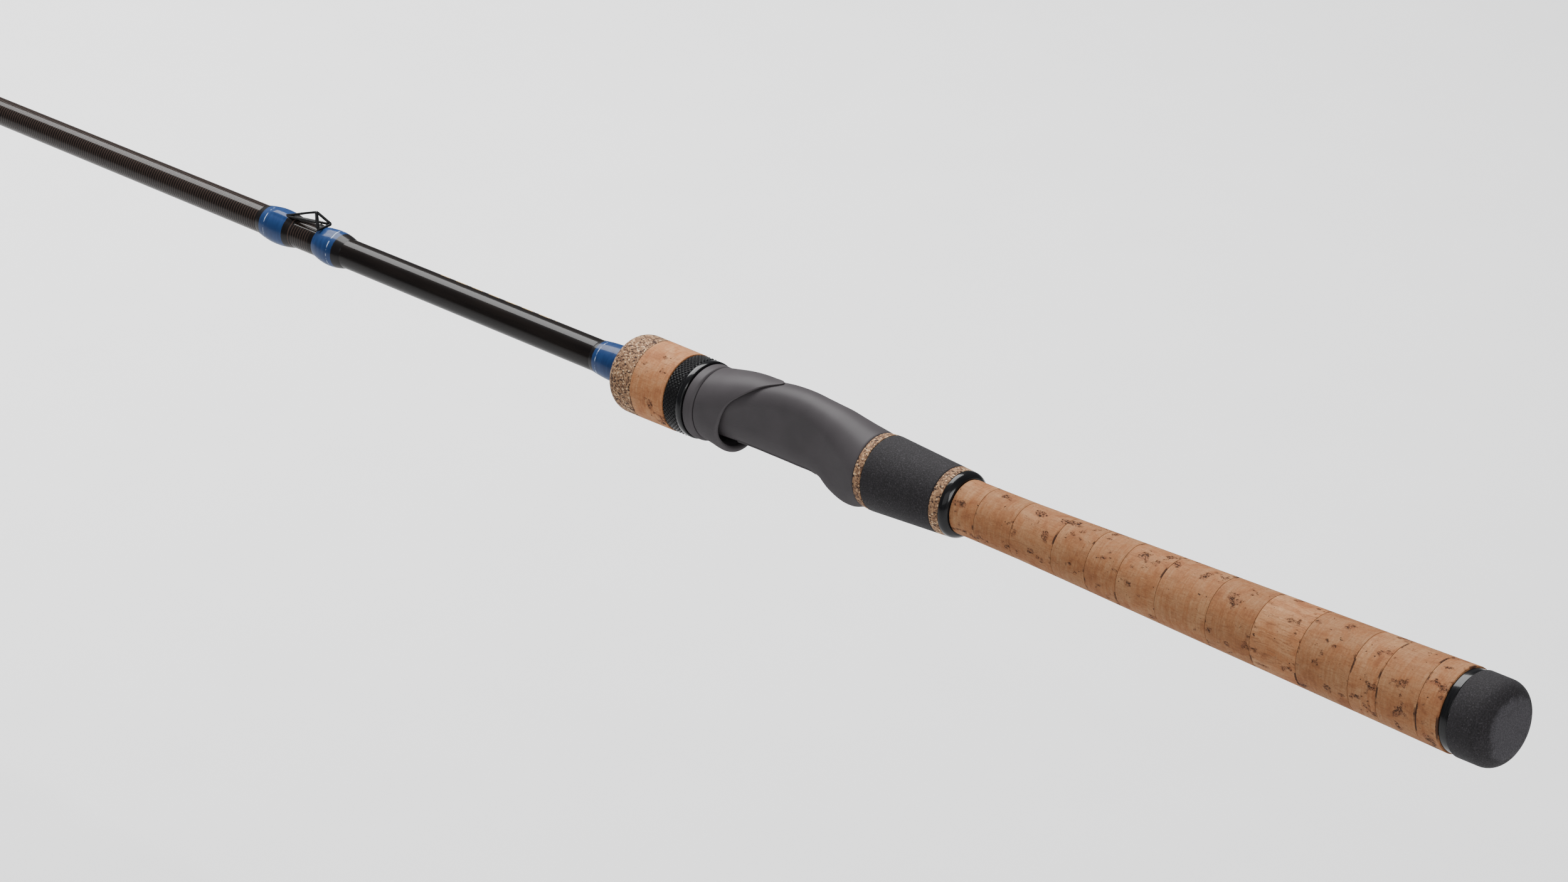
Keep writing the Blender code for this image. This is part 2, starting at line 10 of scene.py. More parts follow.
import bmesh
import bpy
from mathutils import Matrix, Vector


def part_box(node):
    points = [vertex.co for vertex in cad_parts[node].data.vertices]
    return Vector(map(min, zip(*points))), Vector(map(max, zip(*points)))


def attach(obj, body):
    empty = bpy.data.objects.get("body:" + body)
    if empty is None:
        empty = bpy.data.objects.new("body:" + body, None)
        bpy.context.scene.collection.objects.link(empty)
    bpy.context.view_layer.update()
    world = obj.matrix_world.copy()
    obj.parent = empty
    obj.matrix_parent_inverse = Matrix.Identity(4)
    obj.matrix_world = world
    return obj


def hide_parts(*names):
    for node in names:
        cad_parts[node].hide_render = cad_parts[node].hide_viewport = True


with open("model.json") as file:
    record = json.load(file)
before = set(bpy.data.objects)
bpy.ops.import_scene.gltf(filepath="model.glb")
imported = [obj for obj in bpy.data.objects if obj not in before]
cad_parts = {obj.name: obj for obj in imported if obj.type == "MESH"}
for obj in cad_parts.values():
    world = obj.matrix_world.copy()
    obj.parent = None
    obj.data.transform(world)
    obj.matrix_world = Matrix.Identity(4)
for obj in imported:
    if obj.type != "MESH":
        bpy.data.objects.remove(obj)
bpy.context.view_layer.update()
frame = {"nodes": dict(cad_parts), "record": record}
RECORD = frame["record"]
BODY_OF = {node: body for body, nodes in RECORD["behaviour"]["bodies"].items() for node in nodes}

MM = 0.001
# Sides of a turned piece, and of the seat and hood
ROUND = 128
FINE_ROUND = 192
# Height of the floor, in metres
FLOOR_LEVEL = -0.32

# Cross-sections of the seat and hood: (station, top centre, top radius, bottom centre, bottom radius)
SEAT_SECTIONS = (
    (242.3, 0.0, 12.1, 0.0, 12.1),
    (245.0, 1.3, 11.4, -1.5, 11.3),
    (248.5, 3.0, 10.4, -3.9, 10.1),
    (253.0, 5.2, 9.2, -4.8, 9.1),
    (257.5, 7.1, 8.3, -3.1, 9.0),
    (261.5, 8.45, 7.45, -0.9, 8.6),
    (266.5, 9.5, 6.9, 0.0, 8.25),
    (272.5, 10.0, 6.85, 0.0, 8.2),
    (279.5, 9.6, 7.0, 0.0, 8.15),
    (285.5, 8.7, 7.1, 0.0, 8.15),
    (290.5, 7.4, 7.4, 0.0, 8.15),
    (296.5, 5.6, 8.1, 0.0, 8.25),
    (303.5, 3.2, 9.0, 0.0, 8.7),
    (307.5, 1.9, 9.0, 0.0, 9.0),
    (311.7, 0.5, 9.0, 0.0, 9.05),
)
HOOD_SECTIONS = (
    (282.0, 9.15, 7.7, -1.0, 9.4),
    (285.0, 8.7, 7.75, -1.0, 9.5),
    (289.0, 7.95, 8.0, -1.0, 9.9),
    (294.0, 6.7, 8.95, -1.6, 10.2),
    (299.0, 5.1, 9.95, -1.8, 10.8),
    (303.5, 3.4, 10.8, -1.8, 11.2),
    (307.5, 1.9, 11.4, -0.6, 11.6),
    (311.9, 0.45, 11.9, 0.2, 11.7),
)
# Rear edge of the hood: (height above the rod's axis, station, thickness of the rim there)
HOOD_EDGE = (
    (-13.0, 301.6, 2.1), (-8.0, 302.5, 2.0), (-3.0, 302.4, 1.8), (0.0, 301.8, 1.55), (3.0, 300.9, 1.35),
    (6.0, 299.5, 1.1), (8.4, 297.8, 0.95), (10.6, 295.3, 0.85), (12.8, 292.3, 0.75), (14.5, 289.6, 0.65),
    (15.5, 287.3, 0.55), (16.2, 285.0, 0.45), (16.7, 283.0, 0.42),
)
# Height of the flat that the reel's foot rests on, by station
BED_LEVEL = ((258.7, -30.0), (261.9, -11.0), (263.2, -7.65), (299.8, -7.5), (300.8, -7.0), (312.0, -7.0))
# The step along each side of the seat, below a height and ahead of a station
SIDE_STEP = {"below": -6.1, "ahead_of": 260.0, "depth": 0.3}
# The two rails along each side of the seat: (height, distance in from the side, half width, half height)
RAILS = ((-5.7, 0.0, 0.16, 0.16), (-7.05, 0.3, 0.34, 0.42))
SEAT_BORE = 6.3
# Edges of the seat sharper than this angle, in degrees, are shaded sharp
SEAT_ANGLE = 32.0
POCKET = {"stations": (251.5, 267.0), "half_width": 5.6, "z": (-10.4, -7.6), "corner": 1.7}
THREAD = {"stations": (312.2, 345.8), "root": 7.3, "depth": 0.9, "pitch": 3.0}

# The fine ridges that the shrink tape leaves round the blank
TAPE_START = 503.0
TAPE_PITCH = 1.2
RIDGE_BROWN = (0.046, 0.030, 0.024)
# The row of gold dashes ahead of the handle, with its angles in radians from the top
DASHES = {"stations": (388.0, 444.0), "pitch": 8.0, "angle": 0.42, "half_width": 0.10}
GOLD = (0.40, 0.26, 0.09)
# Spacing of the turns of winding thread
WINDING_PITCH = 0.22


# ---- Camera, light and floor ----


def look(obj, target, direction, distance):
    """Places a camera or a light a distance away from its target, and turns it to face the target."""
    away = Vector(direction).normalized()
    obj.location = Vector(target) + away * distance
    obj.rotation_euler = (-away).to_track_quat("-Z", "Y").to_euler()


def add_camera():
    """A long lens that looks down along the rod from beside its butt."""
    data = bpy.data.cameras.new("camera")
    data.lens = 118.1
    data.sensor_width = 36.0
    data.clip_end = 50.0
    camera = bpy.data.objects.new("camera", data)
    bpy.context.scene.collection.objects.link(camera)
    look(camera, (-0.2815, -0.0015125, -0.00229625), (0.6293, -0.6509, 0.4246), 1.614)
    bpy.context.scene.camera = camera


def softbox(name, target, direction, distance, size, watts):
    """A rectangular light that faces its target."""
    data = bpy.data.lights.new(name, "AREA")
    data.shape = "RECTANGLE"
    data.size, data.size_y = size
    data.energy = watts
    light = bpy.data.objects.new(name, data)
    bpy.context.scene.collection.objects.link(light)
    look(light, target, direction, distance)


def add_studio():
    """Dim daylight, three softboxes and a wide pale floor."""
    world = bpy.data.worlds.new("studio")
    world.use_nodes = True
    background = world.node_tree.nodes["Background"]
    background.inputs["Color"].default_value = (0.9, 0.93, 1.0, 1.0)
    background.inputs["Strength"].default_value = 0.2
    bpy.context.scene.world = world
    middle = (-0.5, 0.0, 0.0)
    softbox("overhead", (-1.5, 0.46, 0.0), (0.0, 0.0, 1.0), 1.43, (2.3, 1.3), 125.0)
    softbox("front_fill", middle, (0.5, -1.0, 0.62), 2.6, (2.6, 1.8), 19.0)
    softbox("butt_fill", (0.0, 0.0, 0.0), (1.0, -0.35, 0.5), 1.8, (0.9, 0.9), 24.0)
    bm = bmesh.new()
    bmesh.ops.create_grid(bm, x_segments=2, y_segments=2, size=12.0)
    bmesh.ops.translate(bm, verts=bm.verts, vec=(middle[0], 0.0, FLOOR_LEVEL))
    mesh = bpy.data.meshes.new("floor")
    bm.to_mesh(mesh)
    bm.free()
    floor = bpy.data.objects.new("floor", mesh)
    bpy.context.scene.collection.objects.link(floor)
    mesh.materials.append(plain_floor())


# ---- Materials ----


class Shader:
    """A material's node tree, with short calls that add and link its nodes."""

    def __init__(self, name, base, roughness, **sockets):
        self.material = bpy.data.materials.new(name)
        self.material.use_nodes = True
        self.tree = self.material.node_tree
        self.surface = self.tree.nodes["Principled BSDF"]
        self.surface.inputs["Base Color"].default_value = (*base, 1.0)
        self.surface.inputs["Roughness"].default_value = roughness
        for socket, value in sockets.items():
            self.surface.inputs[socket.replace("_", " ")].default_value = value

    def feed(self, socket, value):
        """Links another node's output to a socket, or sets a number or a colour on it."""
        if isinstance(value, bpy.types.NodeSocket):
            self.tree.links.new(value, socket)
        elif isinstance(value, tuple):
            socket.default_value = (*value, 1.0)
        else:
            socket.default_value = value

    def add(self, kind, inputs=None, **settings):
        """Adds a node with its settings, and feeds its named inputs."""
        node = self.tree.nodes.new(kind)
        for key, value in settings.items():
            setattr(node, key, value)
        for key, value in (inputs or {}).items():
            self.feed(node.inputs[key], value)
        return node

    def place(self, scale=(1.0, 1.0, 1.0), shift=(0.0, 0.0, 0.0)):
        """Object coordinates in millimetres, stretched by scale."""
        source = self.add("ShaderNodeTexCoord")
        mapping = self.add("ShaderNodeMapping", {"Vector": source.outputs["Object"]})
        mapping.inputs["Scale"].default_value = [value / MM for value in scale]
        mapping.inputs["Location"].default_value = shift
        return mapping.outputs[0]

    def noise(self, vector, scale, detail=3.0, roughness=0.5, distortion=0.0):
        inputs = {"Vector": vector, "Scale": scale, "Detail": detail, "Roughness": roughness,
                  "Distortion": distortion}
        return self.add("ShaderNodeTexNoise", inputs).outputs["Fac"]

    def maths(self, operation, first, second=0.0, third=0.0):
        node = self.add("ShaderNodeMath", operation=operation)
        for socket, value in zip(node.inputs, (first, second, third)):
            self.feed(socket, value)
        return node.outputs[0]

    def ramp(self, factor, stops, interpolation="LINEAR"):
        """Turns a factor into a colour, through (position, colour) stops."""
        node = self.add("ShaderNodeValToRGB", {"Fac": factor})
        node.color_ramp.interpolation = interpolation
        elements = node.color_ramp.elements
        while len(elements) < len(stops):
            elements.new(0.5)
        for element, (position, colour) in zip(elements, stops):
            element.position = position
            element.color = (*colour, 1.0)
        return node.outputs[0]

    def window(self, factor, low, high):
        """Rises smoothly from 0 at low to 1 at high, or falls if low is above high."""
        inputs = {"Value": factor, "From Min": low, "From Max": high}
        return self.add("ShaderNodeMapRange", inputs, interpolation_type="SMOOTHSTEP").outputs[0]

    def mix(self, factor, first, second, blend="MIX"):
        """Blends two colours. Inputs 0, 6 and 7 and output 2 are the node's factor and colour sockets."""
        node = self.add("ShaderNodeMix", data_type="RGBA", blend_type=blend)
        for index, value in ((0, factor), (6, first), (7, second)):
            self.feed(node.inputs[index], value)
        return node.outputs[2]

    def station(self):
        """Distance from the butt end in millimetres, with the position it was taken from."""
        source = self.add("ShaderNodeTexCoord")
        axes = self.add("ShaderNodeSeparateXYZ", {"Vector": source.outputs["Object"]})
        return self.maths("MULTIPLY", axes.outputs[0], -1.0 / MM), axes

    def finish(self, colour, roughness=None, height=None, depth=0.1):
        """Links the results to the surface. Depth is the height map's full relief in millimetres."""
        self.tree.links.new(colour, self.surface.inputs["Base Color"])
        if roughness:
            self.tree.links.new(roughness, self.surface.inputs["Roughness"])
        if height:
            bump = self.add("ShaderNodeBump", {"Height": height, "Distance": depth * MM})
            self.tree.links.new(bump.outputs[0], self.surface.inputs["Normal"])
        return self.material


def plain_floor():
    shader = Shader("pale_floor", (0.72, 0.72, 0.72), 0.9, Specular_IOR_Level=0.0)
    grain = shader.noise(shader.place(), 0.02)
    return shader.finish(colour=shader.ramp(grain, ((0.3, (0.74, 0.74, 0.74)), (0.7, (0.755, 0.755, 0.755)))))


def cork(seed, tint, ends, streaks=0.0):
    """Natural cork: faint growth arcs, blotches, ragged dark pits, and cracks along the glued ends of the ring."""
    shader = Shader(f"cork_{seed:02d}", (0.32, 0.16, 0.08), 0.78, Specular_IOR_Level=0.08)
    shift = (seed * 31.7, seed * 17.3, seed * 23.9)
    growth = shader.noise(shader.place((1.3, 0.13, 0.13), shift), 1.0, 5.0, 0.6, 0.5)
    flow = shader.noise(shader.place((0.07, 0.75, 0.75), shift), 1.0, 5.0, 0.6, 0.7)
    blotch = shader.noise(shader.place((0.9, 1.0, 1.0), shift), 0.16, 4.0, 0.6, 0.6)
    grain = shader.noise(shader.place((1.0, 1.0, 1.0), shift), 1.7, 5.0, 0.7)
    tone = shader.mix(streaks, growth, flow)
    light = tuple(value * tint for value in (0.304, 0.157, 0.078))
    dark = tuple(value * tint for value in (0.255, 0.115, 0.052))
    colour = shader.ramp(tone, ((0.33, dark), (0.64, light)))
    warm = shader.ramp(blotch, ((0.33, (0.78, 0.66, 0.62)), (0.45, (0.96, 0.88, 0.82)), (0.55, (1.0, 1.0, 1.0)),
                                (0.70, (1.10, 1.18, 1.20))))
    colour = shader.mix(1.0, colour, warm, "MULTIPLY")
    mottle = shader.ramp(grain, ((0.35, (0.80, 0.76, 0.74)), (0.6, (1.06, 1.06, 1.05))))
    colour = shader.mix(0.7, colour, mottle, "MULTIPLY")
    line = shader.window(shader.maths("ABSOLUTE", shader.maths("SUBTRACT", flow, 0.5)), 0.022, 0.006)
    colour = shader.mix(shader.maths("MULTIPLY", line, 0.38 + 0.3 * streaks), colour, (0.15, 0.062, 0.03))
    patch = shader.window(shader.noise(shader.place((0.8, 1.0, 1.0), shift), 0.22, 2.0), 0.605, 0.675)
    ragged = shader.window(shader.noise(shader.place((0.7, 1.0, 1.0), shift), 1.15, 8.0, 0.75, 1.2), 0.51, 0.58)
    speck = shader.window(shader.noise(shader.place((0.6, 1.0, 1.0), shift), 0.8, 3.0, 0.6), 0.69, 0.73)
    station = shader.station()[0]
    away = shader.maths("MINIMUM", shader.maths("ABSOLUTE", shader.maths("SUBTRACT", station, ends[0])),
                        shader.maths("ABSOLUTE", shader.maths("SUBTRACT", station, ends[1])))
    opened = shader.window(shader.noise(shader.place((0.1, 1.0, 1.0), shift), 0.13, 3.0), 0.57, 0.64)
    split = shader.window(shader.maths("SUBTRACT", away, shader.maths("MULTIPLY", grain, 0.9)), 0.1, -0.1)
    crack = shader.maths("MULTIPLY", split, opened)
    seam = shader.window(away, 0.22, 0.05)
    colour = shader.mix(shader.maths("MULTIPLY", seam, 0.14), colour, (0.16, 0.07, 0.035))
    stain = shader.maths("MULTIPLY", patch, 0.45)
    colour = shader.mix(stain, colour, (0.15, 0.058, 0.033))
    pit = shader.maths("MAXIMUM", shader.maths("MULTIPLY", patch, ragged), shader.maths("MAXIMUM", speck, crack))
    colour = shader.mix(shader.maths("MULTIPLY", pit, 0.9), colour, (0.030, 0.015, 0.012))
    height = shader.maths("SUBTRACT", shader.maths("MULTIPLY", grain, 0.2), pit)
    return shader.finish(colour=colour, height=height, depth=0.4)


def burl_cork():
    """Burl cork: packed grains of tan, brown and near-black bark."""
    shader = Shader("burl_cork", (0.3, 0.17, 0.09), 0.8, Specular_IOR_Level=0.15)
    warp = shader.noise(shader.place(), 0.9, 3.0)
    position = shader.mix(0.35, shader.place((0.8, 1.0, 1.0)), warp, "ADD")
    grains = shader.add("ShaderNodeTexVoronoi", {"Vector": position, "Scale": 2.1, "Randomness": 1.0})
    pick = shader.add("ShaderNodeSeparateColor", {"Color": grains.outputs["Color"]}).outputs[0]
    stops = ((0.0, (0.045, 0.026, 0.019)), (0.15, (0.12, 0.066, 0.040)), (0.38, (0.23, 0.131, 0.074)),
             (0.68, (0.33, 0.194, 0.104)), (0.88, (0.52, 0.352, 0.21)))
    colour = shader.ramp(pick, stops, "CONSTANT")
    fine = shader.noise(shader.place(), 3.0, 4.0, 0.7)
    freckles = shader.ramp(fine, ((0.3, (0.35, 0.33, 0.3)), (0.65, (1.15, 1.12, 1.1))))
    colour = shader.mix(0.5, colour, freckles, "MULTIPLY")
    height = shader.maths("ADD", shader.maths("MULTIPLY", pick, 0.5), shader.maths("MULTIPLY", fine, 0.5))
    return shader.finish(colour=colour, height=height, depth=0.18)


def foam(end=False):
    """EVA foam: a fine matt grain, paler in patches on the flat end of the butt."""
    shader = Shader("eva_foam_end" if end else "eva_foam", (0.02, 0.02, 0.02), 0.85, Specular_IOR_Level=0.3)
    cells = shader.noise(shader.place(), 2.2, 5.0, 0.75)
    broad = shader.noise(shader.place(), 0.25, 3.0)
    stops = ((0.34, (0.0035, 0.003, 0.0034)), (0.5, (0.0105, 0.009, 0.0105)), (0.62, (0.026, 0.0235, 0.0265)),
             (0.72, (0.075, 0.07, 0.076)))
    colour = shader.ramp(cells, stops)
    if end:
        pale = ((0.34, (0.018, 0.0165, 0.019)), (0.55, (0.044, 0.041, 0.046)), (0.72, (0.085, 0.08, 0.087)))
        face = shader.maths("SUBTRACT", shader.station()[0], shader.maths("MULTIPLY", broad, 1.6))
        colour = shader.mix(shader.window(face, 0.1, -0.75), colour, shader.ramp(cells, pale))
    height = shader.maths("ADD", cells, shader.maths("MULTIPLY", broad, 0.4))
    return shader.finish(colour=colour, height=height, depth=0.14)


def soft_touch():
    """The dark grey soft-touch paint of the seat, hood and lock nut, with a broad, weak sheen."""
    shader = Shader("soft_touch_grey", (0.045, 0.042, 0.047), 0.5, Coat_Weight=0.065, Coat_Roughness=0.42,
                    Coat_IOR=2.4, Specular_IOR_Level=0.0)
    grain = shader.noise(shader.place(), 5.0, 3.0, 0.6)
    cloud = shader.noise(shader.place(), 0.08, 2.0)
    colour = shader.ramp(cloud, ((0.3, (0.048, 0.0435, 0.0458)), (0.7, (0.057, 0.0515, 0.0542))))
    rough = shader.window(grain, -0.9, 2.6)
    return shader.finish(colour=colour, roughness=rough, height=grain, depth=0.02)


def gloss_black(name="black_anodised", roughness=0.16, coat=0.08):
    """Black metal with fine lines round the rod, under a clear coat of a given weight."""
    shader = Shader(name, (0.008, 0.008, 0.009), roughness, Coat_Weight=coat, Coat_Roughness=0.11,
                    Coat_IOR=2.4, Specular_IOR_Level=0.08)
    lines = shader.noise(shader.place((2.5, 0.2, 0.2)), 1.0, 3.0)
    colour = shader.ramp(lines, ((0.3, (0.004, 0.004, 0.0045)), (0.7, (0.009, 0.009, 0.0095))))
    rough = shader.maths("MULTIPLY_ADD", lines, 0.12, roughness)
    return shader.finish(colour=colour, roughness=rough, height=lines, depth=0.008)


def tape_ridges(shader, station):
    """1 on the ridges that the shrink tape leaves round the blank and 0 between them, a little uneven."""
    wobble = shader.noise(shader.place((0.3, 1.0, 1.0)), 0.2, 2.0)
    even = shader.maths("MULTIPLY", station, math.tau / TAPE_PITCH)
    turn = shader.maths("ADD", even, shader.maths("MULTIPLY", wobble, 1.2))
    return shader.window(shader.maths("SINE", turn), -0.1, 0.9)


def carbon(name, taped_from):
    """Clear-coated black blank, with tape ridges ahead of a station and a row of gold dashes."""
    shader = Shader(name, (0.01, 0.008, 0.007), 0.35, Coat_Weight=0.085, Coat_Roughness=0.06,
                    Coat_IOR=2.4, Specular_IOR_Level=0.03)
    station, axes = shader.station()
    taped = shader.window(station, taped_from, taped_from + 2.0)
    band = shader.maths("MULTIPLY", tape_ridges(shader, station), taped)
    cloud = shader.noise(shader.place((0.1, 1.0, 1.0)), 0.5, 3.0)
    colour = shader.ramp(cloud, ((0.3, (0.0045, 0.0033, 0.003)), (0.7, (0.0085, 0.0062, 0.0052))))
    colour = shader.mix(shader.maths("MULTIPLY", band, 0.8), colour, RIDGE_BROWN)
    side = shader.maths("ARCTAN2", axes.outputs[1], axes.outputs[2])
    off_line = shader.maths("ABSOLUTE", shader.maths("SUBTRACT", side, DASHES["angle"]))
    near = shader.maths("LESS_THAN", off_line, DASHES["half_width"])
    beat = shader.maths("SINE", shader.maths("MULTIPLY", station, math.tau / DASHES["pitch"]))
    dash = shader.maths("GREATER_THAN", beat, -0.35)
    rear, front = DASHES["stations"]
    span = shader.maths("MULTIPLY", shader.maths("GREATER_THAN", station, rear),
                        shader.maths("LESS_THAN", station, front))
    gold = shader.maths("MULTIPLY", shader.maths("MULTIPLY", near, dash), span)
    colour = shader.mix(gold, colour, GOLD)
    return shader.finish(colour=colour, height=band, depth=0.06)


def wrap_material(name, thread, stripe):
    """Blue winding thread with one pale trim turn, under clear epoxy that runs out on the black blank."""
    shader = Shader(name, (0.02, 0.07, 0.2), 0.45, Coat_Weight=0.085, Coat_Roughness=0.13,
                    Coat_IOR=2.4, Specular_IOR_Level=0.05)
    station = shader.station()[0]
    ragged = shader.maths("MULTIPLY", shader.noise(shader.place((0.2, 1.5, 1.5)), 1.0, 2.0), 0.25)
    place = shader.maths("ADD", station, ragged)
    rear, front = thread
    inside = shader.maths("MULTIPLY", shader.window(place, rear, rear + 0.2),
                          shader.window(place, front + 0.2, front))
    turns = shader.maths("SINE", shader.maths("MULTIPLY", station, math.tau / WINDING_PITCH))
    turns = shader.maths("MULTIPLY_ADD", turns, 0.5, 0.5)
    cloud = shader.noise(shader.place((1.0, 0.3, 0.3)), 0.8, 3.0)
    blue = shader.ramp(cloud, ((0.3, (0.0065, 0.022, 0.078)), (0.7, (0.011, 0.036, 0.115))))
    blue = shader.mix(shader.maths("MULTIPLY", turns, 0.25), blue, (0.022, 0.06, 0.165))
    away = shader.maths("ABSOLUTE", shader.maths("SUBTRACT", place, stripe))
    trim = shader.maths("LESS_THAN", away, 0.18)
    patchy = shader.window(shader.noise(shader.place((0.2, 0.6, 0.6)), 1.0, 1.0), 0.35, 0.6)
    blue = shader.mix(shader.maths("MULTIPLY", trim, patchy), blue, (0.32, 0.38, 0.49))
    clear = shader.maths("MULTIPLY", shader.window(station, rear - 1.7, rear - 2.3),
                         shader.window(station, TAPE_START + 2.0, TAPE_START + 4.0))
    ridges = shader.maths("MULTIPLY", tape_ridges(shader, station), clear)
    bare = shader.mix(ridges, (0.006, 0.005, 0.005), RIDGE_BROWN)
    colour = shader.mix(inside, bare, blue)
    height = shader.maths("MULTIPLY", turns, inside)
    return shader.finish(colour=colour, height=height, depth=0.005)


def ceramic():
    """The guide rings' polished dark ceramic."""
    shader = Shader("dark_ceramic", (0.03, 0.03, 0.034), 0.12, Coat_Weight=0.6, Coat_Roughness=0.05)
    cloud = shader.noise(shader.place(), 0.6, 3.0)
    return shader.finish(colour=shader.ramp(cloud, ((0.3, (0.024, 0.024, 0.028)), (0.7, (0.042, 0.042, 0.047)))))


def hidden_foam():
    """Pale foam for the bushings inside the seat."""
    shader = Shader("bushing_foam", (0.55, 0.5, 0.36), 0.9)
    cells = shader.noise(shader.place(), 1.5, 4.0)
    colour = shader.ramp(cells, ((0.3, (0.42, 0.36, 0.24)), (0.7, (0.62, 0.56, 0.42))))
    return shader.finish(colour=colour, height=cells, depth=0.2)


# ---- Mesh building ----


def point(station, y, z):
    """A place in the frame's metres, from a station and distances in millimetres."""
    return Vector((-station * MM, y * MM, z * MM))


def spoke(station, radius, angle):
    """The point at a radius from the rod's axis, turned by an angle from the top."""
    return point(station, -radius * math.sin(angle), radius * math.cos(angle))


def unit(value):
    """A value held between 0 and 1."""
    return min(max(value, 0.0), 1.0)


def make_object(name, bm, angle=38.0):
    """Turns a bmesh into an object that is smooth except at edges sharper than an angle in degrees."""
    bmesh.ops.remove_doubles(bm, verts=bm.verts, dist=1e-7)
    bmesh.ops.recalc_face_normals(bm, faces=bm.faces)
    mesh = bpy.data.meshes.new(name)
    bm.to_mesh(mesh)
    bm.free()
    mesh.shade_smooth()
    mesh.set_sharp_from_angle(angle=math.radians(angle))
    obj = bpy.data.objects.new(name, mesh)
    bpy.context.scene.collection.objects.link(obj)
    return obj


def stand_for(obj, node, *materials):
    """Makes a piece stand for its CAD node, on that node's body."""
    for material in materials:
        obj.data.materials.append(material)
    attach(obj, BODY_OF[node])
    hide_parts(node)
    return obj


def bridge(bm, rows, closed=False):
    """Faces between rings of points, the last joined to the first if closed. A ring of one point is a pole."""
    made = [[bm.verts.new(co) for co in row] for row in rows]
    pairs = list(zip(made, made[1:]))
    if closed:
        pairs.append((made[-1], made[0]))
    faces = []
    for first, second in pairs:
        count = max(len(first), len(second))
        for i in range(count):
            j = (i + 1) % count
            ring = [first[i % len(first)], first[j % len(first)], second[j % len(second)], second[i % len(second)]]
            corners = list(dict.fromkeys(ring))
            if len(corners) > 2:
                faces.append(bm.faces.new(corners))
    return faces


def rounded_corner(before, here, after, size, most, count):
    """A curve in place of a corner. It starts size away, but takes at most a share of the lines to its neighbours."""
    before, after = before - here, after - here
    start = here + before.normalized() * min(size, before.length * most)
    end = here + after.normalized() * min(size, after.length * most)
    curve = []
    for k in range(count + 1):
        t = k / count
        curve.append(tuple(start * (1 - t) ** 2 + here * (2 * t * (1 - t)) + end * t**2))
    return curve


def fillet(outline, count=4):
    """Rounds the corners of a closed outline of (along, across, radius) points; a radius may be left out."""
    result = []
    for i, corner in enumerate(outline):
        here = Vector(corner[:2])
        size = corner[2] if len(corner) > 2 else 0.0
        if size:
            before, after = Vector(outline[i - 1][:2]), Vector(outline[(i + 1) % len(outline)][:2])
            result += rounded_corner(before, here, after, size, 0.5, count)
        else:
            result.append(tuple(here))
    return result


def circle(station, radius, count=ROUND):
    """A ring of points round the rod's axis, or the one point on it if the radius is 0."""
    if radius <= 0.0:
        return [point(station, 0.0, 0.0)]
    return [spoke(station, radius, math.tau * i / count) for i in range(count)]


def lathe_mesh(bm, outline, count=ROUND):
    """Turns a closed outline of (station, radius) points round the rod's axis."""
    return bridge(bm, [circle(station, radius, count) for station, radius in outline], closed=True)


def lathe(name, outline, count=ROUND):
    """A turned piece as an object."""
    bm = bmesh.new()
    lathe_mesh(bm, outline, count)
    return make_object(name, bm)


def sizes(node):
    """Rear and front stations of a turned CAD node, its outer radius at each, and its bore, in millimetres."""
    spots = [(-v.co.x / MM, math.hypot(v.co.y, v.co.z) / MM) for v in frame["nodes"][node].data.vertices]
    rear, front = min(s for s, r in spots), max(s for s, r in spots)
    rear_radius = max(r for s, r in spots if s < rear + 0.05)
    front_radius = max(r for s, r in spots if s > front - 0.05)
    return rear, front, rear_radius, front_radius, min(r for s, r in spots)


def smooth_table(table, place):
    """Smooth interpolation through a table whose first column rises."""
    if place <= table[0][0]:
        return table[0][1:]
    if place >= table[-1][0]:
        return table[-1][1:]
    i = max(k for k in range(len(table) - 1) if table[k][0] <= place)
    before, low, high, after = table[max(i - 1, 0)], table[i], table[i + 1], table[min(i + 2, len(table) - 1)]
    width = high[0] - low[0]
    t = (place - low[0]) / width
    values = []
    for a, b, c, d in zip(before[1:], low[1:], high[1:], after[1:]):
        rise = (c - a) / (high[0] - before[0]) * width
        fall = (d - b) / (after[0] - low[0]) * width
        values.append(b * (2 * t**3 - 3 * t**2 + 1) + rise * (t**3 - 2 * t**2 + t) + c * (3 * t**2 - 2 * t**3)
                      + fall * (t**3 - t**2))
    return tuple(values)


def blend_table(table, place):
    """Straight-line interpolation in a two-column table."""
    if place <= table[0][0]:
        return table[0][1]
    for low, high in zip(table, table[1:]):
        if place <= high[0]:
            return low[1] + (high[1] - low[1]) * (place - low[0]) / (high[0] - low[0])
    return table[-1][1]


def soft_max(a, b, blend):
    """The larger of two values, with a rounded changeover."""
    gap = max(blend - abs(a - b), 0.0) / blend
    return max(a, b) + gap * gap * blend * 0.25


def section(size, shrink=0.0, count=ROUND):
    """(y, z) points in even steps along the outline round two circles on the Z axis, set in by shrink."""
    top_centre, top_radius, low_centre, low_radius = size
    apart = max(top_centre - low_centre, 1e-6)
    lean = max(-0.999, min(0.999, (low_radius - top_radius) / apart))
    meet = math.acos(lean)
    top_arc, side, low_arc = top_radius * meet, apart * math.sin(meet), low_radius * (math.pi - meet)
    points = []
    for i in range(count):
        turn = 2.0 * i / count
        far = (turn if turn <= 1.0 else 2.0 - turn) * (top_arc + side + low_arc)
        if far < top_arc:
            angle, centre, radius = far / top_radius, top_centre, top_radius
        elif far < top_arc + side:
            share = (far - top_arc) / side
            angle, centre = meet, top_centre - apart * share
            radius = top_radius + (low_radius - top_radius) * share
        else:
            angle, centre, radius = meet + (far - top_arc - side) / low_radius, low_centre, low_radius
        y, z = math.sin(angle) * (radius - shrink), centre + math.cos(angle) * (radius - shrink)
        points.append((-y if turn <= 1.0 else y, z))
    return points


